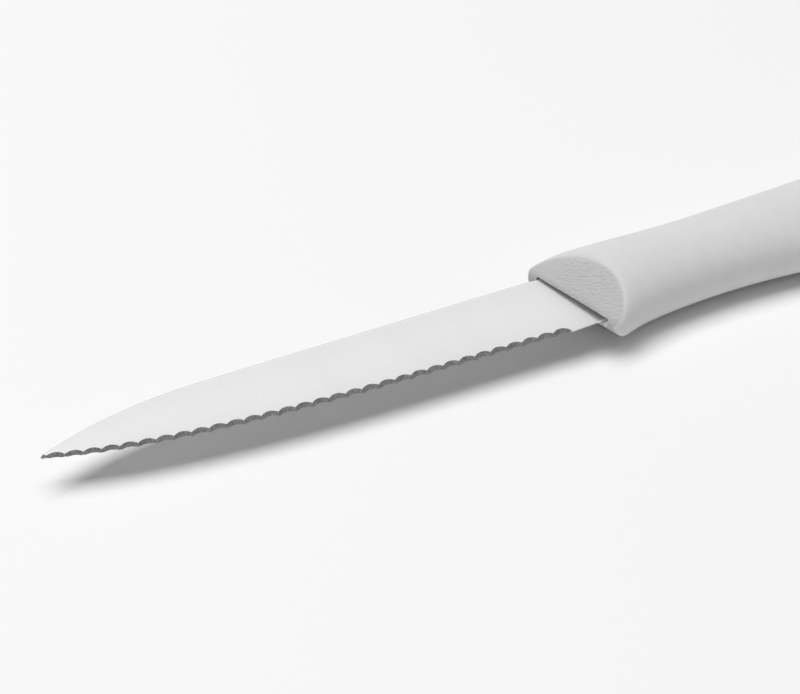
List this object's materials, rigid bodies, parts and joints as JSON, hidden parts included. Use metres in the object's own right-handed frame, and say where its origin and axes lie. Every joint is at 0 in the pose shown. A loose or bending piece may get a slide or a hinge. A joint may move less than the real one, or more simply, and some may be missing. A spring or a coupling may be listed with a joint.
{
  "type": "serrated paring knife",
  "caption": "Serrated paring knife with a slim flat-ground steel blade, scalloped on one side, whose tang is locked inside a rounded plastic grip with a small finger guard.",
  "frame": {"origin": "on the surface that the knife lies on, under the middle of its box", "axes": "+X from the tip to the butt, +Y from the edge to the spine, +Z out of the face with the ground serrations, which lies upwards"},
  "size_m": [0.2098, 0.0232, 0.0138],
  "materials": {
    "blade_steel": "fine satin",
    "grip_plastic": "smooth matte, lightly grained"
  },
  "bodies": {
    "root": {"blade": "blade_steel", "handle": "grip_plastic"}
  },
  "joints": []
}
